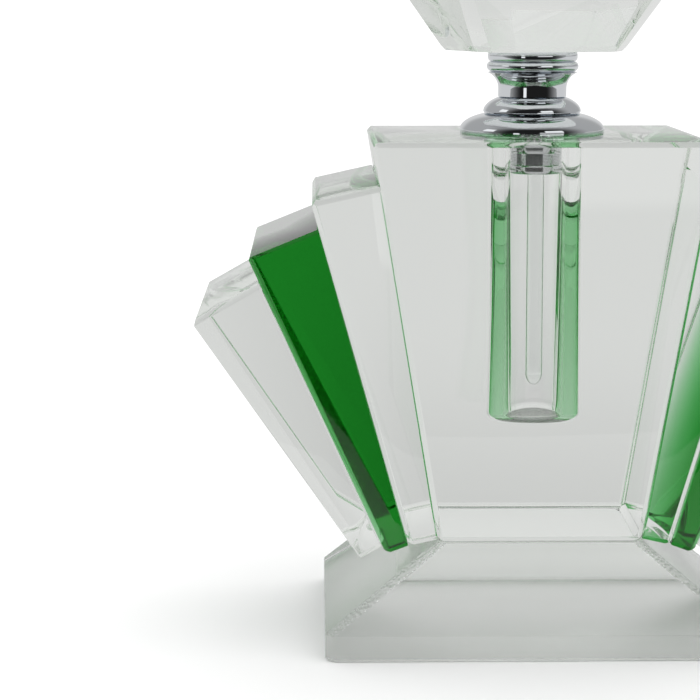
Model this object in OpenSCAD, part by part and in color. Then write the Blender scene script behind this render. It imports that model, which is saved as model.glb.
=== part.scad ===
// Art deco crystal perfume bottle: a tapered centre block with a drilled well, a fan of three
// tapered bars on each side, a sloped foot, and a stopper that unscrews and lifts out with its
// glass dipping rod. The bottle stands on z = 0 and the well's axis is the Z axis.

/* [Block] */
// Width of the centre block at its top, in mm
block_top_width = 52.8; // [48:0.2:58]
// Width of the centre block at its foot
block_foot_width = 32; // [28:0.2:36]
// Depth of the block and of the bars, front to back
block_depth = 44; // [36:1:48]
// Height of the block's top face above the table
block_top_z = 81.4; // [76:0.2:86]
// Bevel along the edges of the cut crystal
crystal_bevel = 0.8; // [0.4:0.1:1.2]

/* [Foot] */
// Width of the foot at the table
foot_width = 67.6; // [62:0.2:74]
// Depth of the foot at the table
foot_depth = 49; // [48:0.5:54]
// Height of the foot's upright edge
foot_edge_height = 4.3; // [3:0.1:6]
// Height of the foot's top face, which carries the block
foot_top_z = 18.8; // [16:0.2:22]

/* [Fan] */
// Width of each bar's foot, from the block outwards
bar_foot_widths = [4.7, 3.8, 3.9];
// Taper of each bar in degrees, from the block outwards
bar_tapers = [6.3, 8.8, 10.2];
// Length of each bar along the side that faces the block
bar_lengths = [56.4, 52, 46];
// Step up along the last bar's outer side before each bar begins
bar_steps = [0.3, 0, 1.4];

/* [Well] */
// Diameter of the drilled well
well_diameter = 14.6; // [14:0.2:16]
// Height of the well's floor above the table
well_floor_z = 36; // [30:0.5:44]
// Radius of the corner between the well's wall and its floor
well_corner = 1.4; // [0.6:0.2:2.4]

/* [Collar] */
// Diameter of the collar's flange on the block
flange_diameter = 23.4; // [22:0.2:26]
// Height of the flange above the block
flange_height = 3.4; // [3:0.1:4]
// Outer diameter of the threaded sleeve in the well
sleeve_diameter = 12.5; // [12:0.1:13]
// Bore of the threaded sleeve
sleeve_bore = 9.5; // [9.3:0.1:9.8]
// How far the sleeve reaches down into the well
sleeve_drop = 6.2; // [5:0.2:9]

/* [Stopper] */
// Diameter of the dome at the bottom of the stopper's neck
dome_diameter = 15.8; // [15:0.2:16.4]
// Diameter of the neck's narrow waist
waist_diameter = 11.04; // [10.4:0.04:12]
// Diameter of the larger bead below the crystal
bead_diameter = 14.8; // [14.6:0.2:16]
// Radius to the corners of the crystal's foot
crystal_foot_radius = 15.3; // [14:0.1:18]
// Radius to the corners of the crystal's girdle
crystal_girdle_radius = 25; // [22:0.5:26]
// Radius to the corners of the crystal's table
crystal_table_radius = 24.6; // [20:0.1:25]
// Height of the girdle above the crystal's foot
crystal_girdle_rise = 14.2; // [12:0.2:16]
// Height of the crystal
crystal_height = 22; // [18:0.5:26]
// Turn of the crystal on its neck, in degrees
crystal_turn = 23.8; // [0:0.1:45]

/* [Rod] */
// Diameter of the glass rod
rod_diameter = 4; // [3.6:0.1:4.4]
// Height of the rod's tip above the table
rod_tip_z = 41; // [38:0.5:50]

/* [Hidden] */

$fn = 96;

LEFT = -1;
RIGHT = 1;
INNER = 0;
GREEN = 1;
OUTER = 2;

// Lean of the block's sides from upright
block_lean = atan((block_top_width - block_foot_width) / 2 / (block_top_z - foot_top_z));

// Foot
foot_corner_cut = 1.3;
foot_under_bevel = 0.5;

// Heights up the collar and the stopper
flange_rim = 0.7;
flange_top_z = block_top_z + flange_height;
sleeve_bottom_z = block_top_z - sleeve_drop;
seal_thickness = 0.6;
seal_gap = 0.05;
sleeve_top_z = flange_top_z - seal_thickness - seal_gap;
seam = 0.1;
dome_z = flange_top_z + seam;
dome_height = 2.5;
waist_height = 1.3;
flare_radius = 2.7;
flare_height = 2.7;
bead_height = 1.65;
groove_depth = 0.25;
top_bead_height = 1.6;
waist_z = dome_z + dome_height;
flare_z = waist_z + waist_height;
bead_z = flare_z + flare_height;
top_bead_z = bead_z + bead_height;
neck_top_z = top_bead_z + top_bead_height;

// Thread, as plain rings with running clearance
thread_pitch = 1.5;
thread_depth = 0.35;
thread_gap = 0.12;
stud_radius = sleeve_bore / 2 - thread_gap;
stud_bottom_z = sleeve_bottom_z + 0.8;
grip_pitch = 0.45;
grip_depth = 0.15;
grip_low = 1.4;
grip_high = 3.2;

// Rod and its ferrule
ferrule_radius = 3.1;
ferrule_length = 6;
rod_top_z = stud_bottom_z + ferrule_length;

// A point moved a distance along a direction that leans outwards from upright
function along(lean, distance) = [sin(lean), cos(lean)] * distance;

// A point moved a distance square to that direction, outwards and down
function across(lean, distance) = [cos(lean), -sin(lean)] * distance;

// Lean of the side of bar i that faces the block
function inner_lean(i) = i == 0 ? block_lean : inner_lean(i - 1) + bar_tapers[i - 1];

// Lean of bar i's own middle line, to which both of its ends are square
function middle_lean(i) = inner_lean(i) + bar_tapers[i] / 2;

// Foot corner of bar i on the side that faces the block
function foot_inside(i) =
  (i == 0 ? [block_foot_width / 2, foot_top_z] : foot_outside(i - 1)) + along(inner_lean(i), bar_steps[i]);

// Foot corner of bar i on its outer side
function foot_outside(i) = foot_inside(i) + across(middle_lean(i), bar_foot_widths[i]);

// Outline of bar i on the right, as a trapezium with both ends square to its middle line
function bar_outline(i) = [
  foot_inside(i),
  foot_outside(i),
  foot_outside(i) + along(inner_lean(i) + bar_tapers[i], bar_lengths[i]),
  foot_inside(i) + along(inner_lean(i), bar_lengths[i])
];

// An outline with every corner cut off at a distance along its two edges
function cut_corners(outline, cut) = [
  for (i = [0:len(outline) - 1])
    let (
      here = outline[i],
      last = outline[(i + len(outline) - 1) % len(outline)],
      next = outline[(i + 1) % len(outline)]
    )
    each [
      here + (last - here) / norm(last - here) * cut,
      here + (next - here) / norm(next - here) * cut
    ]
];

// A rectangle about the origin, as points
function rectangle(width, depth) =
  [[-width, -depth] / 2, [width, -depth] / 2, [width, depth] / 2, [-width, depth] / 2];

// A quarter ellipse from [x + a, y] to [x, y + b], stopped at the angle given
function arc_points(x, y, a, b, stop, steps = 12) =
  [for (i = [0:steps]) [x + a * cos(stop * i / steps), y + b * sin(stop * i / steps)]];

// A square with cut corners, as points on a circle
function cut_square(radius, corner_half = 8) =
  [for (i = [0:3], side = [-1, 1]) radius * [sin(90 * i - crystal_turn + side * corner_half),
                                             -cos(90 * i - crystal_turn + side * corner_half)]];

// An upright slab of cut crystal, with its outline drawn from the front and a bevel on every edge
module crystal_slab(outline, depth) {
  rotate([90, 0, 0])
    hull() {
      linear_extrude(depth - 2 * crystal_bevel, center = true)
        polygon(cut_corners(outline, crystal_bevel));
      linear_extrude(depth, center = true)
        offset(delta = -crystal_bevel)
          polygon(outline);
    }
}

module base_plinth() {
  edge_outline = cut_corners(rectangle(foot_width, foot_depth), foot_corner_cut);
  top_outline = cut_corners(rectangle(block_foot_width, block_depth), foot_corner_cut);
  under_outline = cut_corners(
    rectangle(foot_width - 2 * foot_under_bevel, foot_depth - 2 * foot_under_bevel), foot_corner_cut
  );
  skin = 0.01;
  color("honeydew")
    hull() {
      linear_extrude(skin)
        polygon(under_outline);
      translate([0, 0, foot_under_bevel])
        linear_extrude(foot_edge_height - foot_under_bevel)
          polygon(edge_outline);
      translate([0, 0, foot_top_z - skin])
        linear_extrude(skin)
          polygon(top_outline);
    }
}

module well() {
  radius = well_diameter / 2;
  rotate_extrude()
    polygon(concat(
      [[0, block_top_z + 1], [0, well_floor_z]],
      [for (p = arc_points(0, 0, well_corner, well_corner, 90))
        [radius - well_corner + p[1], well_floor_z + well_corner - p[0]]],
      [[radius, block_top_z + 1]]
    ));
}

module centre_block() {
  outline = [
    [-block_foot_width / 2, foot_top_z],
    [block_foot_width / 2, foot_top_z],
    [block_top_width / 2, block_top_z],
    [-block_top_width / 2, block_top_z]
  ];
  color("whitesmoke")
    difference() {
      crystal_slab(outline, block_depth);
      well();
    }
}

// Bar i of the fan, on the left or on the right
module fan_bar(i, side) {
  outline = [for (p = bar_outline(i)) [side * p[0], p[1]]];
  color(i == GREEN ? "forestgreen" : "whitesmoke")
    crystal_slab(outline, block_depth);
}

module collar_flange() {
  rim_radius = flange_diameter / 2;
  hump_x = dome_diameter / 2 - 1.5;
  color("silver")
    rotate_extrude()
      polygon(concat(
        [[sleeve_diameter / 2, block_top_z], [rim_radius, block_top_z]],
        arc_points(hump_x, block_top_z + flange_rim, rim_radius - hump_x,
                   flange_height - flange_rim, 74),
        [[dome_diameter / 2 - 0.1, flange_top_z], [sleeve_diameter / 2, flange_top_z]]
      ));
}

module collar_sleeve() {
  outer = sleeve_diameter / 2;
  bore = sleeve_bore / 2;
  color("gainsboro")
    difference() {
      translate([0, 0, sleeve_bottom_z])
        cylinder(r = outer, h = sleeve_top_z - sleeve_bottom_z);
      translate([0, 0, sleeve_bottom_z - 1])
        cylinder(r = bore, h = sleeve_top_z - sleeve_bottom_z + 2);
      for (z = [grip_low:grip_pitch:grip_high])
        translate([0, 0, sleeve_bottom_z + z])
          rotate_extrude()
            translate([outer - grip_depth, 0])
              square([1, grip_pitch / 2]);
      for (z = [1:thread_pitch:sleeve_drop])
        translate([0, 0, sleeve_bottom_z + z])
          cylinder(r = bore + thread_depth, h = thread_pitch / 2);
    }
}

module seal_ring() {
  color("white")
    translate([0, 0, sleeve_top_z + seal_gap])
      difference() {
        cylinder(r = sleeve_diameter / 2 - seal_gap, h = seal_thickness);
        translate([0, 0, -1])
          cylinder(r = stud_radius + seal_gap, h = seal_thickness + 2);
      }
}

module stopper_neck() {
  dome_centre = 3.9;
  dome_sweep = 66;
  flare_sweep = 70;
  lip = 0.35;
  lip_sweep = 80;
  waist = waist_diameter / 2;
  bead = bead_diameter / 2;
  flare_centre = waist + flare_radius;
  groove = bead - groove_depth;
  bead_round = bead_height / 2;
  color("silver")
    rotate_extrude()
      polygon(concat(
        [[0, dome_z]],
        arc_points(dome_centre, dome_z, dome_diameter / 2 - dome_centre,
                   dome_height / sin(dome_sweep), dome_sweep),
        [[waist, waist_z]],
        [for (a = [0:7:flare_sweep]) [flare_centre - flare_radius * cos(a), flare_z + flare_radius * sin(a)]],
        [for (a = [-90:15:90]) [bead - bead_round + bead_round * cos(a), bead_z + bead_round * (1 + sin(a))]],
        [[groove - bead_round, top_bead_z]],
        [for (a = [-lip_sweep:16:lip_sweep]) [groove + 0.1 + lip * (cos(a) - 1),
                                              top_bead_z + top_bead_height / 2 * (1 + sin(a))]],
        [[0, neck_top_z]]
      ));
}

module stopper_stud() {
  color("gainsboro")
    difference() {
      translate([0, 0, stud_bottom_z])
        cylinder(r = stud_radius, h = dome_z - stud_bottom_z);
      translate([0, 0, stud_bottom_z - 1])
        cylinder(r = ferrule_radius, h = ferrule_length + 1);
      for (z = [0.8:thread_pitch:sleeve_drop])
        translate([0, 0, stud_bottom_z + z])
          rotate_extrude()
            translate([stud_radius - thread_depth, 0])
              square([1, thread_pitch / 2]);
    }
}

module rod_ferrule() {
  color("lightgray")
    translate([0, 0, stud_bottom_z])
      difference() {
        cylinder(r = ferrule_radius, h = ferrule_length);
        translate([0, 0, -1])
          cylinder(d = rod_diameter, h = ferrule_length + 2);
      }
}

module applicator_rod() {
  radius = rod_diameter / 2;
  color("azure")
    rotate_extrude()
      polygon(concat(
        [[0, rod_top_z], [0, rod_tip_z]],
        [for (a = [6:6:90]) [radius * sin(a), rod_tip_z + radius * (1 - cos(a))]],
        [[radius, rod_top_z]]
      ));
}

module stopper_crystal() {
  skin = 0.01;
  girdle_band = 1.2;
  edge = 0.9;
  color("whitesmoke")
    translate([0, 0, neck_top_z])
      hull() {
        linear_extrude(skin)
          polygon(cut_square(crystal_foot_radius - edge));
        translate([0, 0, edge])
          linear_extrude(skin)
            polygon(cut_square(crystal_foot_radius));
        translate([0, 0, crystal_girdle_rise])
          linear_extrude(girdle_band)
            polygon(cut_square(crystal_girdle_radius));
        translate([0, 0, crystal_height - skin])
          linear_extrude(skin)
            polygon(cut_square(crystal_table_radius));
      }
}

base_plinth();
centre_block();
fan_bar(INNER, LEFT);  // left_inner_bar
fan_bar(GREEN, LEFT);  // left_green_bar
fan_bar(OUTER, LEFT);  // left_outer_bar
fan_bar(INNER, RIGHT);  // right_inner_bar
fan_bar(GREEN, RIGHT);  // right_green_bar
fan_bar(OUTER, RIGHT);  // right_outer_bar
collar_flange();
collar_sleeve();
seal_ring();
stopper_neck();
stopper_stud();
rod_ferrule();
applicator_rod();
stopper_crystal();
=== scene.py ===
# %% [markdown]
# # A crystal perfume bottle with a dipping-rod stopper
# The bottle is cut crystal: a tapered block with a drilled well, three tapered bars fanned out on
# each side, a sloped foot, a turned chrome collar, and a faceted stopper on a chrome neck. This
# lesson dresses the measured model: every size comes from the model's own boxes, so nothing is
# fitted by eye. Lengths in the helpers are metres, and MM turns millimetres into them.

# %% Load the measured model
from itertools import combinations
from math import cos, hypot, pi, radians, sin

import bmesh
import bpy
from mathutils import Matrix, Vector


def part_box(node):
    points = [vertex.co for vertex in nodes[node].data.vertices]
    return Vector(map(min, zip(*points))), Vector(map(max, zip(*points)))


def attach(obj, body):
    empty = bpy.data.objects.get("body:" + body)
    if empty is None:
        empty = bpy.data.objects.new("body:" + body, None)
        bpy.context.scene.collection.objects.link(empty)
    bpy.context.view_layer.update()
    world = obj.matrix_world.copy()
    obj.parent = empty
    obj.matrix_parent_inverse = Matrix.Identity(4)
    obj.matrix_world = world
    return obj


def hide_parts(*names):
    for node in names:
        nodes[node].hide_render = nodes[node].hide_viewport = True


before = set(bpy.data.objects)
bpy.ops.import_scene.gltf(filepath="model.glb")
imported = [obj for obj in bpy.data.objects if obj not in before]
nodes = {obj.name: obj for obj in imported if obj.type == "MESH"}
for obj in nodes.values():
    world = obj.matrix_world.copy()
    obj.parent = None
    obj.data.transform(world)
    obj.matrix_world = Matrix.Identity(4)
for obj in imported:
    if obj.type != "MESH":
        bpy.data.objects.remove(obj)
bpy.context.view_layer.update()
MM = 0.001

# %% [markdown]
# ## The camera
# It stands a little left of the bottle's middle and looks slightly down, as a product photographer
# would for a table-top piece. A long lens keeps the sides of the block from spreading.

# %% Place the camera
CAMERA_PLACE = Vector((-35.2, -340.1, 103.3)) * MM
LOOK_DOWN = radians(9.6)
LOOK_RIGHT = radians(0.96)
FOCAL_MM = 107.5

camera_data = bpy.data.cameras.new("camera")
camera_data.lens = FOCAL_MM
camera_data.clip_start = 0.01
camera = bpy.data.objects.new("camera", camera_data)
camera.location = CAMERA_PLACE
camera.rotation_euler = (pi / 2 - LOOK_DOWN, 0, -LOOK_RIGHT)
bpy.context.scene.collection.objects.link(camera)
bpy.context.scene.camera = camera
print("camera", [round(v, 3) for v in camera.location])

# %% [markdown]
# ## The studio
# Glass shows what stands round it, so the studio matters more than lamps. It could be lit with area
# lamps, but small lamps make bright specks behind glass. A pale world that is bright all round is
# soft and clean. What shines on chrome is a second version of the same room, with a dark gap where
# the photographer stands and soft boxes beside it, because chrome needs something dark to show.
# This is not one physical room. The camera sees a clean white, what has passed through glass sees a
# greyer studio, and metal seen deep inside the glass sees a small dark gap as well. A product picture
# whose backdrop was cut away has the same split. The numbers are tuned for the front view, so from
# elsewhere the reflections are only plausible.

# %% Set up the tone and the light paths
scene = bpy.context.scene
scene.view_settings.view_transform = "Standard"
scene.cycles.max_bounces = 40
scene.cycles.transmission_bounces = 36
scene.cycles.glossy_bounces = 24
scene.cycles.transparent_max_bounces = 48
scene.cycles.diffuse_bounces = 3


def link(tree, source, target):
    tree.links.new(source, target)


def math(tree, operation, a, b=None, clamp=False):
    """A maths node; a and b are sockets or numbers."""
    n = tree.nodes.new("ShaderNodeMath")
    n.operation = operation
    n.use_clamp = clamp
    for socket, value in zip(n.inputs, (a, b)):
        if value is None:
            continue
        if isinstance(value, (int, float)):
            socket.default_value = value
        else:
            link(tree, value, socket)
    return n.outputs[0]


def ramp(tree, value, low, high, at_low=0.0, at_high=1.0):
    """value eased from at_low to at_high as it goes from low to high."""
    n = tree.nodes.new("ShaderNodeMapRange")
    n.interpolation_type = "SMOOTHSTEP"
    link(tree, value, n.inputs["Value"])
    for name, number in (("From Min", low), ("From Max", high), ("To Min", at_low), ("To Max", at_high)):
        n.inputs[name].default_value = number
    return n.outputs["Result"]


# %% Make the world
CUT_OUT_WHITE = 1.04
PAPER_LIGHT = 1.25
THROUGH_GLASS_LOW, THROUGH_GLASS_HIGH, GLASS_DARK = 0.68, 0.79, 0.05
ROOM_BEHIND, ROOM_SIDES, ROOM_ABOVE, ROOM_DARK, SOFT_BOX = 0.7, 0.45, 0.32, 0.015, 1.1
# Each pair below is where a tone starts to change and where it has changed, as a share of a direction.
FRONT_TO_SIDES, BACKDROP_ROUND, BACKDROP_UP = (-0.75, 0.15), (0.75, 0.95), (0.25, 0.5)
CEILING, GLASS_RISE = (0.72, 0.95), (0.05, 0.6)
# Soft boxes: two bearings in degrees, two heights, and how soft the sides are.
SOFT_BOXES = (
    (-90, -70, 0.18, 0.55, 0.03),
    (17, 46, 0.18, 0.5, 0.03),
    (-34, -26, -0.2, 0.0, 0.03),
    (7.4, 46, 0.02, 0.1, 0.008),
)
GAP_SIDES, GAP_HEIGHTS, GAP_EDGE = (radians(-60), radians(25)), (-0.3, 0.15), 0.1
MIRRORED_ONCE, SURFACES_PASSED = 0.5, 3.5
world = bpy.data.worlds.new("studio")
scene.world = world
world.cycles.sampling_method = "NONE"
world.use_nodes = True
wt = world.node_tree
wt.nodes.clear()
direction = wt.nodes.new("ShaderNodeTexCoord").outputs["Generated"]
split = wt.nodes.new("ShaderNodeSeparateXYZ")
link(wt, direction, split.inputs[0])
dx, dy, dz = split.outputs


def window(tree, value, low, high, soft):
    """1 where value lies between low and high, easing to 0 over soft outside."""
    up = ramp(tree, value, low - soft, low)
    down = ramp(tree, value, high, high + soft, 1.0, 0.0)
    return math(tree, "MULTIPLY", up, down)


def between(tree, factor, a, b):
    """a where factor is 0 and b where it is 1."""
    n = tree.nodes.new("ShaderNodeMix")
    n.data_type = "FLOAT"
    for socket, value in ((n.inputs[0], factor), (n.inputs[2], a), (n.inputs[3], b)):
        if isinstance(value, (int, float)):
            socket.default_value = value
        else:
            link(tree, value, socket)
    return n.outputs[0]


def soft_box(side_low, side_high, low, high, edge):
    """A soft box between two bearings in degrees from the front, and two heights as a share of up."""
    across = window(wt, side, radians(side_low), radians(side_high), edge)
    return math(wt, "MULTIPLY", across, window(wt, dz, low, high, 0.03))


side = math(wt, "ARCTAN2", dx, math(wt, "MULTIPLY", dy, -1.0))
mirror_room = ramp(wt, dy, *FRONT_TO_SIDES, ROOM_DARK, ROOM_SIDES)
backdrop = math(wt, "MULTIPLY", ramp(wt, dy, *BACKDROP_ROUND), ramp(wt, dz, *BACKDROP_UP, 1.0, 0.0))
mirror_room = between(wt, backdrop, mirror_room, ROOM_BEHIND)
mirror_room = between(wt, ramp(wt, dz, *CEILING), mirror_room, ROOM_ABOVE)
boxes = soft_box(*SOFT_BOXES[0])
for box in SOFT_BOXES[1:]:
    boxes = math(wt, "ADD", boxes, soft_box(*box), clamp=True)
mirror_room = between(wt, boxes, mirror_room, SOFT_BOX)
glass_room = ramp(wt, dz, *GLASS_RISE, THROUGH_GLASS_LOW, THROUGH_GLASS_HIGH)

path = wt.nodes.new("ShaderNodeLightPath")
through_glass = path.outputs["Is Transmission Ray"]
dark_gap = math(wt, "MULTIPLY", window(wt, side, *GAP_SIDES, GAP_EDGE), window(wt, dz, *GAP_HEIGHTS, GAP_EDGE))
for depth, least in (("Glossy Depth", MIRRORED_ONCE), ("Transmission Depth", SURFACES_PASSED)):
    dark_gap = math(wt, "MULTIPLY", dark_gap, math(wt, "GREATER_THAN", path.outputs[depth], least))
glass_room = between(wt, dark_gap, glass_room, GLASS_DARK)
mirrored = math(wt, "SUBTRACT", path.outputs["Is Glossy Ray"], through_glass, clamp=True)
strength = between(wt, through_glass, PAPER_LIGHT, glass_room)
strength = between(wt, mirrored, strength, mirror_room)
strength = between(wt, path.outputs["Is Camera Ray"], strength, CUT_OUT_WHITE)
background = wt.nodes.new("ShaderNodeBackground")
background.inputs["Color"].default_value = (1.0, 1.0, 1.0, 1.0)
link(wt, strength, background.inputs["Strength"])
link(wt, background.outputs[0], wt.nodes.new("ShaderNodeOutputWorld").inputs["Surface"])


# %% Lay the paper
def new_material(name):
    m = bpy.data.materials.new(name)
    m.use_nodes = True
    m.node_tree.nodes.clear()
    return m


def principled(m, **values):
    """A Principled shader on the material's output, with plain values set on its own sockets."""
    t = m.node_tree
    out = t.nodes.new("ShaderNodeOutputMaterial")
    n = t.nodes.new("ShaderNodeBsdfPrincipled")
    for name, value in values.items():
        n.inputs[name.replace("_", " ")].default_value = value
    link(t, n.outputs[0], out.inputs["Surface"])
    return t, n, out


PAPER_HALF, PAPER_FRONT, PAPER_BACK = 30.0, -0.13, 100.0
PAPER_DROP = 0.02 * MM
# Painted light and shade on the paper, for every ray but the camera's. It is lightest under the bottle and
# just round its foot, as painted light that lifts the contact shadow there. It is darkest about NEAR from the
# bottle's axis, as painted shade near the bottle, and a little lighter again by FAR. The camera sees it
# near-white.
PAPER_SEEN, PAPER_PAINTED_LIGHT_CLOSE, PAPER_PAINTED_SHADE_NEAR, PAPER_FAR = 0.97, 0.80, 0.50, 0.59
CLOSE, NEAR, FAR = 0.03, 0.12, 0.36
camera_data.clip_end = 500
paper_finish = new_material("floor_paper")
pt = paper_finish.node_tree
paper_out = pt.nodes.new("ShaderNodeOutputMaterial")
paper = pt.nodes.new("ShaderNodeBsdfDiffuse")
paper_path = pt.nodes.new("ShaderNodeLightPath")
reach = pt.nodes.new("ShaderNodeVectorMath")
reach.operation = "LENGTH"
link(pt, pt.nodes.new("ShaderNodeTexCoord").outputs["Object"], reach.inputs[0])
# Painted shade near the bottle and painted light right under it, set by distance from the bottle's axis.
through = ramp(pt, reach.outputs["Value"], NEAR, FAR, PAPER_PAINTED_SHADE_NEAR, PAPER_FAR)
painted_light_close = ramp(pt, reach.outputs["Value"], CLOSE, NEAR, PAPER_PAINTED_LIGHT_CLOSE, PAPER_PAINTED_SHADE_NEAR)
through = math(pt, "MAXIMUM", through, painted_light_close)
tone = between(pt, paper_path.outputs["Is Camera Ray"], through, PAPER_SEEN)
link(pt, tone, paper.inputs["Color"])
link(pt, paper.outputs[0], paper_out.inputs["Surface"])
paper_mesh = bpy.data.meshes.new("floor")
paper_mesh.from_pydata([
    (-PAPER_HALF, PAPER_FRONT, -PAPER_DROP), (PAPER_HALF, PAPER_FRONT, -PAPER_DROP),
    (PAPER_HALF, PAPER_BACK, -PAPER_DROP), (-PAPER_HALF, PAPER_BACK, -PAPER_DROP),
], [], [(0, 1, 2, 3)])
paper_mesh.materials.append(paper_finish)
floor = bpy.data.objects.new("floor", paper_mesh)
scene.collection.objects.link(floor)

# %% [markdown]
# ## Clear and green crystal
# Crystal is clear all through, so its colour has to come from its depth and not from its skin: a bar
# seen through its whole depth is dark green and seen through its side is pale. A tinted surface
# would give both the same colour. Absorption inside the glass does what the real one does. The
# skin only has faint polishing marks and a slight frost along the cut bevels. The foot's underside is
# ground, its upper side is very slightly hazy, and its hips are chipped.
# Where two pieces are glued, the clear adhesive leaves no surface to see, so the faces marked
# "glued" let light straight through.

# %% Mix the crystal
CRYSTAL_IOR = 1.52
GROUND_ROUGHNESS = 0.42
CHIPS_PER_METRE, CHIP_DEPTH = 1900.0, 0.0003


def object_noise(tree, scale, detail=2.0, rough=0.5, stretch=None):
    """Noise on the object's own coordinates, in bumps per metre."""
    coords = tree.nodes.new("ShaderNodeTexCoord").outputs["Object"]
    if stretch:
        mapping = tree.nodes.new("ShaderNodeMapping")
        mapping.inputs["Scale"].default_value = stretch
        link(tree, coords, mapping.inputs["Vector"])
        coords = mapping.outputs[0]
    n = tree.nodes.new("ShaderNodeTexNoise")
    n.inputs["Scale"].default_value = scale
    n.inputs["Detail"].default_value = detail
    n.inputs["Roughness"].default_value = rough
    link(tree, coords, n.inputs["Vector"])
    return n.outputs["Fac"]


def attribute(tree, name):
    n = tree.nodes.new("ShaderNodeAttribute")
    n.attribute_name = name
    return n.outputs["Fac"]


def crystal(name, depth_colour, density, frost=0.12, polish=0.012):
    m = new_material(name)
    t, glass, out = principled(
        m, Base_Color=(1, 1, 1, 1), IOR=CRYSTAL_IOR, Transmission_Weight=1.0, Roughness=0.0
    )
    bevel = attribute(t, "bevel")
    marks = ramp(t, object_noise(t, 900.0, 5.0, 0.6), 0.45, 0.75, 0.0, polish)
    grit = ramp(t, object_noise(t, 2600.0, 3.0, 0.7), 0.35, 0.7, 0.0, frost)
    rough = math(t, "ADD", marks, math(t, "MULTIPLY", grit, bevel))
    ground = math(t, "MULTIPLY", attribute(t, "ground"), GROUND_ROUGHNESS)
    link(t, math(t, "ADD", rough, ground, clamp=True), glass.inputs["Roughness"])
    chips = t.nodes.new("ShaderNodeTexVoronoi")
    chips.inputs["Scale"].default_value = CHIPS_PER_METRE
    link(t, t.nodes.new("ShaderNodeTexCoord").outputs["Object"], chips.inputs["Vector"])
    bump = t.nodes.new("ShaderNodeBump")
    bump.inputs["Distance"].default_value = CHIP_DEPTH
    link(t, attribute(t, "chipped"), bump.inputs["Strength"])
    link(t, chips.outputs["Distance"], bump.inputs["Height"])
    link(t, bump.outputs[0], glass.inputs["Normal"])
    link(t, math(t, "SUBTRACT", 1.0, attribute(t, "glued"), clamp=True), glass.inputs["Alpha"])
    volume = t.nodes.new("ShaderNodeVolumeAbsorption")
    volume.inputs["Color"].default_value = (*depth_colour, 1)
    volume.inputs["Density"].default_value = density
    link(t, volume.outputs[0], out.inputs["Volume"])
    return m


clear_crystal = crystal("clear_crystal", (0.35, 0.58, 0.30), 2.0)
green_crystal = crystal("green_crystal", (0.11, 0.725, 0.21), 110.0)
print("crystal mixed")

# %% [markdown]
# ## Chrome
# Plated brass is a mirror with hair-fine lathe lines round it, and a little dust. The lines could be
# modelled, but they are thousandths of a millimetre deep, so they are a bump that depends on height.

# %% Mix the chrome and the small finishes
def chrome(name, colour, roughness, line_depth):
    m = new_material(name)
    t, metal, _ = principled(m, Base_Color=(*colour, 1), Metallic=1.0, Roughness=roughness)
    lines = object_noise(t, 1.0, 3.0, 0.6, stretch=(60, 60, 9000))
    dust = ramp(t, object_noise(t, 700.0, 6.0, 0.65), 0.5, 0.8, roughness, roughness + 0.12)
    link(t, dust, metal.inputs["Roughness"])
    bump = t.nodes.new("ShaderNodeBump")
    bump.inputs["Strength"].default_value = 0.25
    bump.inputs["Distance"].default_value = line_depth
    link(t, lines, bump.inputs["Height"])
    link(t, bump.outputs[0], metal.inputs["Normal"])
    return m


chrome_plate = chrome("chrome_plate", (0.74, 0.765, 0.79), 0.03, 0.000004)
# The sleeve, the stud and its thread share a darker, slightly rougher copy of the chrome. The darker colour is
# painted shade for how dark they look down in the well.
shaded_sleeve_metal = chrome("shaded_sleeve_metal", (0.62, 0.63, 0.64), 0.07, 0.00001)


def rod_glass_finish():
    m = new_material("rod_glass")
    t, glass, out = principled(m, Base_Color=(1, 1, 1, 1), IOR=1.5, Transmission_Weight=1.0)
    waves = ramp(t, object_noise(t, 250.0, 2.0), 0.3, 0.8, 0.0, 0.02)
    link(t, waves, glass.inputs["Roughness"])
    volume = t.nodes.new("ShaderNodeVolumeAbsorption")
    volume.inputs["Color"].default_value = (0.4, 0.6, 0.48, 1)
    volume.inputs["Density"].default_value = 20.0
    link(t, volume.outputs[0], out.inputs["Volume"])
    return m


def moulded(name, colour, roughness, pass_through=0.0):
    m = new_material(name)
    t, skin, _ = principled(m, Base_Color=(*colour, 1), Roughness=roughness, Subsurface_Weight=pass_through)
    skin.inputs["Subsurface Scale"].default_value = 0.001
    grain = object_noise(t, 1800.0, 4.0)
    bump = t.nodes.new("ShaderNodeBump")
    bump.inputs["Strength"].default_value = 0.2
    bump.inputs["Distance"].default_value = 0.00002
    link(t, grain, bump.inputs["Height"])
    link(t, bump.outputs[0], skin.inputs["Normal"])
    link(t, ramp(t, grain, 0.3, 0.7, roughness - 0.06, roughness + 0.06), skin.inputs["Roughness"])
    return m


rod_glass = rod_glass_finish()
seal_finish = moulded("seal_soft", (0.86, 0.87, 0.85), 0.45, 0.4)
ferrule_finish = moulded("ferrule_white", (0.82, 0.83, 0.82), 0.4)

# %% [markdown]
# ## Cut crystal
# Each crystal is a block with flat polished faces. The model already has its large bevels, so the
# visual piece starts from the model's own corners. Their hull gives flat faces again instead of
# loose triangles. The last arris of each edge is then broken by a hair, as a polisher does, because
# a razor-sharp edge never catches the light.
# Known fault: rebuilding from planes goes slightly wrong on some pieces, so left and right are not
# quite mirror images. The left green bar's front and back each fall into two facets a degree apart,
# most likely the dark wedge seen there. The right green bar's top is 2 degrees out, half of the right outer
# bar's top is 3 degrees out, and the foot's hips differ. The measured model underneath is right.

# %% Turn a node into flat polished faces
GLUE_GAP = 0.02 * MM
ARRIS = 0.06 * MM
WELL_RADIUS = 7.3 * MM
NARROW = 1.6 * MM


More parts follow.
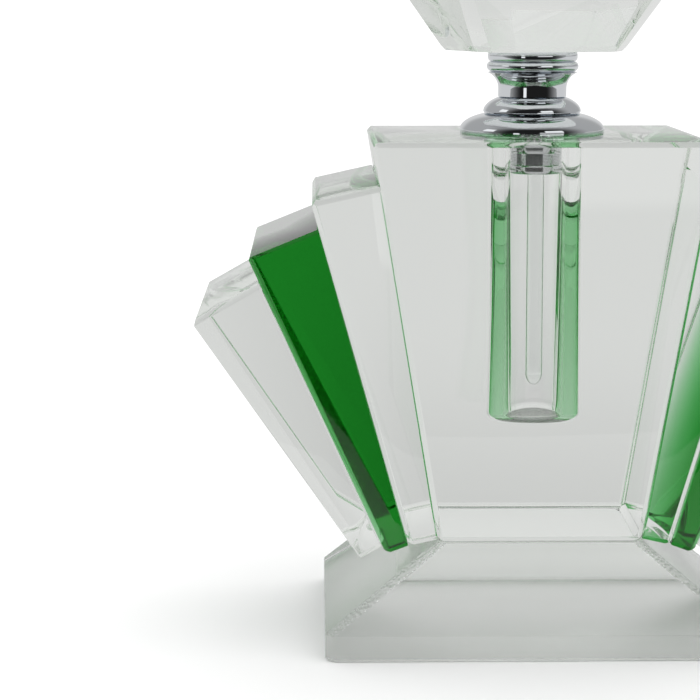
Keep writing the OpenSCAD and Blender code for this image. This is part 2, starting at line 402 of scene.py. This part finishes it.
def hull_of(points):
    """A convex piece with flat faces round the points."""
    bm = bmesh.new()
    for p in points:
        bm.verts.new(p)
    bmesh.ops.remove_doubles(bm, verts=bm.verts, dist=1e-6)
    made = bmesh.ops.convex_hull(bm, input=bm.verts)
    spare = {e for e in made["geom_interior"] + made["geom_unused"] if isinstance(e, bmesh.types.BMVert)}
    bmesh.ops.delete(bm, geom=list(spare), context="VERTS")
    bmesh.ops.dissolve_limit(bm, angle_limit=radians(0.5), verts=bm.verts, edges=bm.edges)
    bmesh.ops.recalc_face_normals(bm, faces=bm.faces)
    return bm


def node_points(node, keep_outside=0.0):
    """The node's points, without those within keep_outside of the Z axis."""
    return [v.co for v in nodes[node].data.vertices if hypot(v.co.x, v.co.y) >= keep_outside]


def width_of(face):
    return face.calc_area() / max(e.calc_length() for e in face.edges)


def large_planes(bm):
    """The (normal, distance) of each face that is wider than a bevel."""
    return [(f.normal.copy(), f.normal.dot(f.calc_center_median())) for f in bm.faces if width_of(f) > NARROW]


def crossing(planes):
    """The point where three planes meet, or None."""
    (a, da), (b, db), (c, dc) = planes
    det = a.dot(b.cross(c))
    if abs(det) < 1e-6:
        return None
    return (b.cross(c) * da + c.cross(a) * db + a.cross(b) * dc) / det


def corners_inside(planes):
    """Every corner of the convex piece that lies under all the planes."""
    found = []
    for trio in combinations(planes, 3):
        p = crossing(trio)
        if p is not None and all(n.dot(p) < d + 1e-8 for n, d in planes):
            found.append(p)
    return found


def bevel_plane(first, second, width):
    """The plane that takes the edge between two planes off by width along each."""
    (a, da), (b, db) = first, second
    along = a.cross(b)
    edge = crossing([(a, da), (b, db), (along.normalized(), 0.0)])
    into = -(b - a * a.dot(b)).normalized()
    across = (a + b).normalized()
    return across, across.dot(edge + into * width)


def cut_crystal(node, bevel_of, keep_outside=0.0):
    """The node's crystal with sharp planes, then a bevel on each edge as wide as bevel_of says."""
    planes = large_planes(hull_of(node_points(node, keep_outside)))
    sharp = hull_of(corners_inside(planes))
    for edge in list(sharp.edges):
        first, second = ((f.normal.copy(), f.normal.dot(f.calc_center_median())) for f in edge.link_faces)
        planes.append(bevel_plane(first, second, bevel_of(first[0], second[0])))
    sharp.free()
    return hull_of(corners_inside([(n, d - GLUE_GAP) for n, d in planes]))


def break_arris(bm):
    """Takes a hair off each edge, and marks every narrow face as bevel."""
    bmesh.ops.bevel(bm, geom=list(bm.edges), offset=ARRIS, segments=2, profile=0.5, affect="EDGES")
    bevel = bm.faces.layers.float.new("bevel")
    for name in ("glued", "ground", "chipped"):
        bm.faces.layers.float.new(name)
    for f in bm.faces:
        f[bevel] = 1.0 if width_of(f) < NARROW else 0.0
    return bm


# %% Cut the bars and the block
BEVEL_WIDE, BEVEL_FINE = 0.8 * MM, 0.2 * MM


def bar_bevel(hand, outermost):
    """A bar's edges: fine along the side that is bonded towards the block, and wide elsewhere."""
    def width(a, b):
        towards_block = max(-hand * a.x, -hand * b.x) > 0.8
        outside = outermost and max(hand * a.x, hand * b.x) > 0.8 and max(a.z, b.z) < 0.5
        return BEVEL_FINE if towards_block or outside else BEVEL_WIDE
    return width


cut = {}
for name in nodes:
    if name.endswith("_bar"):
        hand = -1 if name.startswith("left") else 1
        cut[name] = break_arris(cut_crystal(name, bar_bevel(hand, "outer" in name)))
cut["centre_block"] = break_arris(cut_crystal("centre_block", lambda a, b: BEVEL_WIDE, WELL_RADIUS + 1 * MM))


def shrunk_hull(node):
    bm = hull_of(node_points(node))
    shifts = [(v, v.normal * v.calc_shell_factor() * GLUE_GAP) for v in bm.verts]
    for v, shift in shifts:
        v.co -= shift
    return bm


cut["stopper_crystal"] = break_arris(shrunk_hull("stopper_crystal"))


# %% Cut the foot
HIP_BEVEL, FOOT_UNDER_BEVEL, FOOT_BEVEL = 0.6 * MM, 0.5 * MM, 0.15 * MM
UNDERSIDE_GROUND, SLOPE_HAZE = 1.0, 0.2


def is_slope(normal):
    return 0.2 < normal.z < 0.98


def foot_bevel(a, b):
    """The hips between two slopes are chipped wide, the underside has a small bevel, the rest is fine."""
    if is_slope(a) and is_slope(b):
        return HIP_BEVEL
    return FOOT_UNDER_BEVEL if min(a.z, b.z) < -0.9 else FOOT_BEVEL


foot = break_arris(cut_crystal("base_plinth", foot_bevel))
chipped, ground = foot.faces.layers.float["chipped"], foot.faces.layers.float["ground"]
for f in foot.faces:
    hip = abs(f.normal.x) > 0.2 and abs(f.normal.y) > 0.2 and f.normal.z > 0.2
    f[chipped] = 1.0 if hip else 0.0
    f[ground] = UNDERSIDE_GROUND if f.normal.z < -0.3 else SLOPE_HAZE if f.normal.z > 0.1 else 0.0
cut["base_plinth"] = foot
for name, bm in cut.items():
    print(name, "faces", len(bm.faces))

# %% [markdown]
# ## Glued faces
# The bars are bonded to each other and to the block with clear adhesive. Two faces that merely
# touched would shine like mirrors, which bonded crystal doesn't. So the outline of each neighbour is
# cut into the face that it is bonded to, and what lies inside it is marked as glued.
# The green bar and the outer bar are bonded too, but that joint is left unmarked on purpose: marked,
# the foot of the green bar turned pale. That was judged before the fault above was known, so it
# deserves another try. It is the one joint here that departs from how the bottle is made.

# %% Mark what is glued
GLUED_PAIRS = [("centre_block", "base_plinth")]
for hand in ("left", "right"):
    chain = ["centre_block", f"{hand}_inner_bar", f"{hand}_green_bar"]
    GLUED_PAIRS += list(zip(chain, chain[1:]))


def middle(bm):
    return sum((v.co for v in bm.verts), Vector()) / len(bm.verts)


def face_towards(bm, way):
    """The large flat face that looks most nearly along way."""
    large = max(f.calc_area() for f in bm.faces) * 0.15
    return max((f for f in bm.faces if f.calc_area() > large), key=lambda f: f.normal.dot(way))


def outline_of(face):
    return [v.co.copy() for v in face.verts], face.normal.copy()


def is_inside(point, outline, normal):
    """True if the point lies on the inner side of every edge of a convex outline."""
    for a, b in zip(outline, outline[1:] + outline[:1]):
        if (b - a).cross(point - a).dot(normal) < 0:
            return False
    return True


def contact_way(a, b):
    """The way from piece a to piece b: down to the foot, and otherwise sideways."""
    if b == "base_plinth":
        return Vector((0, 0, -1))
    if a == "base_plinth":
        return Vector((0, 0, 1))
    way = middle(cut[b]) - middle(cut[a])
    return Vector((way.x, 0, 0)).normalized()


patches = []
for a, b in GLUED_PAIRS:
    for here, there in ((a, b), (b, a)):
        outline, normal = outline_of(face_towards(cut[there], contact_way(there, here)))
        patches.append((here, contact_way(here, there), outline, normal))

for here, way, outline, normal in patches:
    bm = cut[here]
    glued = bm.faces.layers.float["glued"]
    face = face_towards(bm, way)
    flat = face.normal.copy()
    pieces = [face]
    for p, q in zip(outline, outline[1:] + outline[:1]):
        edge_way = (q - p).cross(flat).normalized()
        geom = list({e for f in pieces for e in f.edges} | {v for f in pieces for v in f.verts} | set(pieces))
        done = bmesh.ops.bisect_plane(bm, geom=geom, dist=1e-8, plane_co=p, plane_no=edge_way)
        pieces = [g for g in done["geom"] if isinstance(g, bmesh.types.BMFace)]
    inside = [f for f in pieces if is_inside(f.calc_center_median(), outline, normal)]
    for f in inside:
        f[glued] = 1.0
    share = sum(f.calc_area() for f in inside) / max(sum(f.calc_area() for f in pieces), 1e-12)
    print(here, "glued share of the face", round(share, 3))

# %% [markdown]
# ## Rings in a flat face
# The well is drilled from the block's top face, and the stopper's crystal is glued to the round top
# of its neck. Both need a circle in a flat face. A boolean cut could make it, but it leaves long
# thin faces and loses the marks on the faces, so the ring is set into the face by hand.

# %% Set a circle into a flat face
ROUND = 128


def circle_in_face(bm, face, radius, count=ROUND):
    """Replaces the face by one with a round hole on the Z axis, and returns the hole's vertices."""
    z = face.calc_center_median().z
    turns = [2 * pi * i / count for i in range(count)]
    rim = [bm.verts.new((radius * cos(a), radius * sin(a), z)) for a in turns]
    hole = [bm.edges.new((rim[i], rim[(i + 1) % count])) for i in range(count)]
    marks = {layer: face[layer] for layer in bm.faces.layers.float.values()}
    border = list(face.edges)
    normal = face.normal.copy()
    bm.faces.remove(face)
    made = bmesh.ops.triangle_fill(bm, use_beauty=True, edges=border + hole, normal=normal)
    for f in made["geom"]:
        if isinstance(f, bmesh.types.BMFace):
            for layer, value in marks.items():
                f[layer] = value
            if f.normal.dot(normal) < 0:
                f.normal_flip()
    return rim


def wall_down(bm, rim, profile):
    """Joins rings of the (radius, height) profile below the rim, and closes the last one."""
    count = len(rim)
    for radius, z in profile:
        turn = [2 * pi * i / count for i in range(count)]
        ring = [bm.verts.new((radius * cos(a), radius * sin(a), z)) for a in turn]
        for i in range(count):
            j = (i + 1) % count
            wall = bm.faces.new((rim[i], rim[j], ring[j], ring[i]))
            wall.smooth = True
        rim = ring
    floor_face = bm.faces.new(rim)
    floor_face.smooth = True
    return floor_face


# %% Drill the well
block_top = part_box("centre_block")[1].z
WELL_FLOOR = 36 * MM
WELL_CORNER = 1.4 * MM
MOUTH_BREAK = 0.25 * MM
block = cut["centre_block"]
top = max(block.faces, key=lambda f: f.calc_center_median().z * 1000 + f.calc_area())
top_z = top.calc_center_median().z
mouth = circle_in_face(block, top, WELL_RADIUS + MOUTH_BREAK)
well = [(WELL_RADIUS, top_z - MOUTH_BREAK)]
well += [(WELL_RADIUS, WELL_FLOOR + WELL_CORNER)]
for step in range(1, 9):
    a = pi / 2 * step / 8
    well.append((WELL_RADIUS - WELL_CORNER * (1 - cos(a)), WELL_FLOOR + WELL_CORNER * (1 - sin(a))))
wall_down(block, mouth, well)
print("well depth in mm", round((block_top - WELL_FLOOR) / MM, 1))

# %% Glue the stopper's crystal to its neck
SEAT_RADIUS = 7.0 * MM
gem = cut["stopper_crystal"]
seat = min((f for f in gem.faces if f.normal.z < -0.99), key=lambda f: f.calc_center_median().z)
rim = circle_in_face(gem, seat, SEAT_RADIUS, 64)
disc = gem.faces.new(rim[::-1])
disc[gem.faces.layers.float["glued"]] = 1.0


# %% Put the crystals in place
def finished(name, bm, material, body, node):
    """A finished crystal piece that stands for its node."""
    bmesh.ops.recalc_face_normals(bm, faces=bm.faces)
    if bm.calc_volume(signed=True) < 0:
        bmesh.ops.reverse_faces(bm, faces=bm.faces)
    mesh = bpy.data.meshes.new(name)
    bm.to_mesh(mesh)
    bm.free()
    mesh.set_sharp_from_angle(angle=radians(20))
    mesh.materials.append(material)
    piece = bpy.data.objects.new(name, mesh)
    scene.collection.objects.link(piece)
    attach(piece, body)
    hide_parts(node)
    return piece


for name, bm in cut.items():
    green = "green" in name
    body = "stopper" if name.startswith("stopper") else "bottle"
    finish = green_crystal if green else clear_crystal
    piece = finished(name + "_cut", bm, finish, body, name)
    print(piece.name, "polygons", len(piece.data.polygons))

# %% [markdown]
# ## Turned parts
# The collar, the neck, the rod and the bushes are all turned: one outline, spun round the Z axis.
# That is a rule, so a small node tree does it. It reads the outline's points, lays a grid with one
# column for each step round, and bends the grid into the turned shape.

# %% Build the lathe
def node_tree(name, sockets):
    """A geometry tree with named inputs and one geometry output."""
    tree = bpy.data.node_groups.new(name, "GeometryNodeTree")
    for label, kind, value in sockets:
        s = tree.interface.new_socket(label, in_out="INPUT", socket_type=kind)
        if value is not None:
            s.default_value = value
    tree.interface.new_socket("Shape", in_out="OUTPUT", socket_type="NodeSocketGeometry")
    start = tree.nodes.new("NodeGroupInput")
    end = tree.nodes.new("NodeGroupOutput")
    return tree, start, end


def finish_tree(tree, start, end, shape):
    """Ends a tree in Realize Instances and Set Material."""
    real = tree.nodes.new("GeometryNodeRealizeInstances")
    link(tree, shape, real.inputs[0])
    paint = tree.nodes.new("GeometryNodeSetMaterial")
    link(tree, real.outputs[0], paint.inputs["Geometry"])
    link(tree, start.outputs["Finish"], paint.inputs["Material"])
    link(tree, paint.outputs[0], end.inputs["Shape"])


lathe, start, end = node_tree("lathe", [
    ("Outline", "NodeSocketGeometry", None),
    ("Steps round", "NodeSocketInt", ROUND),
    ("Finish", "NodeSocketMaterial", None),
])
count = lathe.nodes.new("GeometryNodeAttributeDomainSize")
link(lathe, start.outputs["Outline"], count.inputs[0])
grid = lathe.nodes.new("GeometryNodeMeshGrid")
columns = math(lathe, "ADD", start.outputs["Steps round"], 1)
link(lathe, columns, grid.inputs["Vertices X"])
link(lathe, count.outputs["Point Count"], grid.inputs["Vertices Y"])
index = lathe.nodes.new("GeometryNodeInputIndex").outputs[0]
row = math(lathe, "MODULO", index, count.outputs["Point Count"])
past = math(lathe, "ADD", index, 0.5)
column = math(lathe, "FLOOR", math(lathe, "DIVIDE", past, count.outputs["Point Count"]))
where = lathe.nodes.new("GeometryNodeSampleIndex")
where.data_type = "FLOAT_VECTOR"
link(lathe, start.outputs["Outline"], where.inputs["Geometry"])
link(lathe, lathe.nodes.new("GeometryNodeInputPosition").outputs[0], where.inputs["Value"])
link(lathe, row, where.inputs["Index"])
point = lathe.nodes.new("ShaderNodeSeparateXYZ")
link(lathe, where.outputs[0], point.inputs[0])
turn = math(lathe, "MULTIPLY", math(lathe, "DIVIDE", column, start.outputs["Steps round"]), 2 * pi)
bent = lathe.nodes.new("ShaderNodeCombineXYZ")
link(lathe, math(lathe, "MULTIPLY", point.outputs["X"], math(lathe, "COSINE", turn)), bent.inputs["X"])
link(lathe, math(lathe, "MULTIPLY", point.outputs["X"], math(lathe, "SINE", turn)), bent.inputs["Y"])
link(lathe, point.outputs["Z"], bent.inputs["Z"])
place = lathe.nodes.new("GeometryNodeSetPosition")
link(lathe, grid.outputs["Mesh"], place.inputs["Geometry"])
link(lathe, bent.outputs[0], place.inputs["Position"])
weld = lathe.nodes.new("GeometryNodeMergeByDistance")
weld.inputs["Distance"].default_value = 1e-6
link(lathe, place.outputs[0], weld.inputs["Geometry"])
finish_tree(lathe, start, end, weld.outputs[0])


def run_tree(source, tree, name, values):
    """Runs a tree on an object and returns the result as a plain mesh object."""
    modifier = source.modifiers.new("tree", "NODES")
    modifier.node_group = tree
    for item in tree.interface.items_tree:
        if item.item_type == "SOCKET" and item.in_out == "INPUT" and item.name in values:
            modifier[item.identifier] = values[item.name]
    graph = bpy.context.evaluated_depsgraph_get()
    mesh = bpy.data.meshes.new_from_object(source.evaluated_get(graph), depsgraph=graph)
    source.modifiers.remove(modifier)
    bpy.data.objects.remove(source)
    bm = bmesh.new()
    bm.from_mesh(mesh)
    bmesh.ops.remove_doubles(bm, verts=bm.verts, dist=1e-7)
    bmesh.ops.recalc_face_normals(bm, faces=bm.faces)
    for f in bm.faces:
        f.smooth = True
    bm.to_mesh(mesh)
    bm.free()
    mesh.name = name
    result = bpy.data.objects.new(name, mesh)
    scene.collection.objects.link(result)
    return result


def turned(name, outline_mm, finish, crease=28):
    """A turned piece from (radius, height) points in millimetres; a point on the axis has radius 0."""
    mesh = bpy.data.meshes.new(name + "_outline")
    points = [(r * MM, 0, z * MM) for r, z in outline_mm]
    mesh.from_pydata(points, [(i, i + 1) for i in range(len(points) - 1)], [])
    source = bpy.data.objects.new(name + "_outline", mesh)
    scene.collection.objects.link(source)
    piece = run_tree(source, lathe, name, {"Steps round": ROUND, "Finish": finish})
    piece.data.set_sharp_from_angle(angle=radians(crease))
    print(name, "polygons", len(piece.data.polygons))
    return piece


def arc(x, z, a, b, first, last, steps=16, slack=1.0):
    """Points on an ellipse about (x, z), between two angles in degrees.

    Slack over 1 flattens its shoulder.
    """
    turns = [radians(first + (last - first) * i / steps) for i in range(steps + 1)]
    return [(x + a * max(cos(t), 0.0) ** slack, z + b * sin(t)) for t in turns]


def in_place(piece, body, node=None):
    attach(piece, body)
    if node:
        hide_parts(node)


def size_mm(node):
    """A turned node's outer radius, lowest height and highest height, in millimetres."""
    lowest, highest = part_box(node)
    return highest.x / MM, lowest.z / MM, highest.z / MM


# %% [markdown]
# ## The collar
# The flange hides the well's mouth. Its skirt swells out and turns under at the rim, where a fine
# bead stands on the crystal. The sleeve below is glued into the well: two plain bands with a band of
# fine grip lines between them.

# %% Turn the flange
flange_r, flange_low, flange_high = size_mm("collar_flange")
sleeve_r, sleeve_low, sleeve_high = size_mm("collar_sleeve")
dome_r, dome_low, neck_top = size_mm("stopper_neck")
RIM, RIM_BREAK, SKIRT_SWEEP, SKIRT_SLACK = 0.7, 0.2, 74, 1.25
HUMP_INSET, SEAM_INSET = 1.5, 0.1
hump = dome_r - HUMP_INSET
skirt_rise = flange_high - flange_low - RIM
flange_outline = [(sleeve_r, flange_low), (flange_r - RIM_BREAK, flange_low)]
flange_outline += arc(flange_r - RIM_BREAK, flange_low + RIM_BREAK, RIM_BREAK, RIM_BREAK, -90, 0, 4)[1:]
flange_outline += arc(hump, flange_low + RIM, flange_r - hump, skirt_rise, 0, SKIRT_SWEEP, 24, SKIRT_SLACK)
flange_outline += [(dome_r - SEAM_INSET, flange_high), (sleeve_r, flange_high), (sleeve_r, flange_low)]
in_place(turned("collar_flange_turned", flange_outline, chrome_plate), "bottle", "collar_flange")

# %% Turn the sleeve
SLEEVE_BORE = 4.75
GRIP_LOW, GRIP_HIGH, GRIP_PITCH, GRIP_DEPTH = 1.4, 3.2, 0.225, 0.06
BAND_STEP = 0.18


def band(lowest, highest):
    """One rounded plain band of the sleeve."""
    return arc(sleeve_r - BAND_STEP, (lowest + highest) / 2, BAND_STEP, (highest - lowest) / 2, -84, 84, 14)


sleeve_outline = [(SLEEVE_BORE, sleeve_low), (sleeve_r - BAND_STEP, sleeve_low)]
sleeve_outline += band(sleeve_low, sleeve_low + GRIP_LOW) + [(sleeve_r - BAND_STEP, sleeve_low + GRIP_LOW)]
height = sleeve_low + GRIP_LOW + GRIP_PITCH
while height < sleeve_low + GRIP_HIGH - GRIP_PITCH / 2:
    sleeve_outline += [
        (sleeve_r - BAND_STEP, height - GRIP_PITCH / 4),
        (sleeve_r - BAND_STEP - GRIP_DEPTH, height),
        (sleeve_r - BAND_STEP, height + GRIP_PITCH / 4),
    ]
    height += GRIP_PITCH
sleeve_outline += [(sleeve_r - BAND_STEP, sleeve_low + GRIP_HIGH)] + band(sleeve_low + GRIP_HIGH, sleeve_high)
sleeve_outline += [(sleeve_r - BAND_STEP, sleeve_high), (SLEEVE_BORE, sleeve_high)]
sleeve_outline += [(SLEEVE_BORE, sleeve_low)]
in_place(turned("collar_sleeve_turned", sleeve_outline, shaded_sleeve_metal), "bottle", "collar_sleeve")

# %% Turn the seal
seal_r, seal_low, seal_high = size_mm("seal_ring")
SEAL_BORE, EDGE = 4.68, 0.1
seal_outline = [(SEAL_BORE, seal_low), (seal_r - EDGE, seal_low), (seal_r, seal_low + EDGE)]
seal_outline += [(seal_r, seal_high - EDGE), (seal_r - EDGE, seal_high)]
seal_outline += [(SEAL_BORE, seal_high), (SEAL_BORE, seal_low)]
in_place(turned("seal_ring_soft", seal_outline, seal_finish), "seal", "seal_ring")

# %% [markdown]
# ## The stopper's neck
# From the seam up: a quarter-round dome, a narrow waist that flares out in a hollow curve, and two
# beads under the crystal.

# %% Turn the neck
DOME_X, DOME_RISE, DOME_SLACK, WAIST_R, WAIST_RISE = 3.9, 2.5, 1.35, 5.52, 1.3
FLARE, FLARE_RISE, BEAD_R, BEAD_RISE, GROOVE = 2.7, 2.7, 7.4, 1.65, 0.25
SEAM, DOME_SWEEP, FLARE_SWEEP, FLARE_STEP, BEAD_SWEEP = 0.08, 66, 70, 5, 80
LIP, LIP_INSET, LIP_GAP = 0.35, 0.25, 0.02
waist_z = dome_low + DOME_RISE
flare_z = waist_z + WAIST_RISE
bead_z = flare_z + FLARE_RISE
top_bead_z = bead_z + BEAD_RISE
top_rise = neck_top - top_bead_z
dome_rise = (DOME_RISE - SEAM) / sin(radians(DOME_SWEEP))
neck_outline = [(0, dome_low), (dome_r - SEAM, dome_low)]
neck_outline += arc(DOME_X, dome_low + SEAM, dome_r - DOME_X, dome_rise, 0, DOME_SWEEP, 24, DOME_SLACK)
neck_outline += [(WAIST_R, waist_z)]
for a in range(0, FLARE_SWEEP + 1, FLARE_STEP):
    neck_outline.append((WAIST_R + FLARE * (1 - cos(radians(a))), flare_z + FLARE * sin(radians(a))))
half = BEAD_RISE / 2
neck_outline += arc(BEAD_R - half, bead_z + half, half, half, -BEAD_SWEEP, BEAD_SWEEP, 20)
neck_outline += [(BEAD_R - GROOVE - LIP, top_bead_z + LIP_GAP)]
lip_x, lip_z = BEAD_R - GROOVE - LIP_INSET, top_bead_z + top_rise / 2
neck_outline += arc(lip_x, lip_z, LIP, top_rise / 2 - LIP_GAP, -BEAD_SWEEP, BEAD_SWEEP, 20)
neck_outline += [(BEAD_R - GROOVE - 0.3, neck_top), (0, neck_top)]
in_place(turned("stopper_neck_turned", neck_outline, chrome_plate, 40), "stopper", "stopper_neck")

# %% [markdown]
# ## The stud and its thread
# The stud screws into the sleeve. Its thread is one ridge that climbs round it, so it follows a
# path: a spiral with a small three-sided outline carried along it.

# %% Build the thread
thread, start, end = node_tree("thread", [
    ("Outline", "NodeSocketGeometry", None),
    ("Radius", "NodeSocketFloat", 0.0045),
    ("Turns", "NodeSocketFloat", 4.0),
    ("Rise", "NodeSocketFloat", 0.006),
    ("Ridge", "NodeSocketFloat", 0.0003),
    ("Finish", "NodeSocketMaterial", None),
])
spiral = thread.nodes.new("GeometryNodeCurveSpiral")
spiral.inputs["Resolution"].default_value = 64
link(thread, start.outputs["Turns"], spiral.inputs["Rotations"])
link(thread, start.outputs["Radius"], spiral.inputs["Start Radius"])
link(thread, start.outputs["Radius"], spiral.inputs["End Radius"])
link(thread, start.outputs["Rise"], spiral.inputs["Height"])
ridge = thread.nodes.new("GeometryNodeCurvePrimitiveCircle")
ridge.inputs["Resolution"].default_value = 3
link(thread, start.outputs["Ridge"], ridge.inputs["Radius"])
carried = thread.nodes.new("GeometryNodeCurveToMesh")
carried.inputs["Fill Caps"].default_value = True
link(thread, spiral.outputs[0], carried.inputs["Curve"])
link(thread, ridge.outputs["Curve"], carried.inputs["Profile Curve"])
finish_tree(thread, start, end, carried.outputs[0])

# %% Turn the stud and cut its thread
stud_r, stud_low, stud_high = size_mm("stopper_stud")
FERRULE_R = 3.1
CORE_R = stud_r - 0.35
STUD_BORE_DEPTH = 6
stud_outline = [(FERRULE_R, stud_low), (CORE_R - 0.2, stud_low), (CORE_R, stud_low + 0.3)]
stud_outline += [(CORE_R, stud_high), (0, stud_high), (0, stud_low + STUD_BORE_DEPTH)]
stud_outline += [(FERRULE_R, stud_low + STUD_BORE_DEPTH), (FERRULE_R, stud_low)]
in_place(turned("stopper_stud_core", stud_outline, shaded_sleeve_metal), "stopper", "stopper_stud")
THREAD_PITCH, RIDGE = 1.0, 0.28
thread_rise = stud_high - stud_low - 1.6
seed_mesh = bpy.data.meshes.new("thread_seed")
seed = bpy.data.objects.new("thread_seed", seed_mesh)
scene.collection.objects.link(seed)
ridge_piece = run_tree(seed, thread, "stopper_stud_thread", {
    "Radius": (stud_r - RIDGE) * MM,
    "Turns": thread_rise / THREAD_PITCH,
    "Rise": thread_rise * MM,
    "Ridge": RIDGE * MM,
    "Finish": shaded_sleeve_metal,
})
ridge_piece.data.transform(Matrix.Translation((0, 0, (stud_low + 0.5) * MM)))
ridge_piece.data.set_sharp_from_angle(angle=radians(40))
in_place(ridge_piece, "stopper")

# %% [markdown]
# ## The dipping rod
# A plain glass rod, fire-polished to a round tip, held by a small bush pressed into the stud.

# %% Turn the rod and its bush
rod_r, rod_low, rod_high = size_mm("applicator_rod")
ROD_BREAK, ROD_GAP = 0.2, 0.02
rod_outline = arc(0, rod_low + rod_r, rod_r, rod_r, -90, 0, 20)
rod_outline += [(rod_r, rod_high - ROD_BREAK), (rod_r - ROD_BREAK, rod_high), (0, rod_high)]
rod_outline[0] = (0, rod_low)
in_place(turned("applicator_rod_glass", rod_outline, rod_glass), "stopper", "applicator_rod")
bush_r, bush_low, bush_high = size_mm("rod_ferrule")
bush_outline = [(rod_r + ROD_GAP, bush_low), (bush_r - EDGE, bush_low), (bush_r, bush_low + EDGE)]
bush_outline += [(bush_r, bush_high), (rod_r + ROD_GAP, bush_high), (rod_r + ROD_GAP, bush_low)]
in_place(turned("rod_ferrule_bush", bush_outline, ferrule_finish), "stopper", "rod_ferrule")
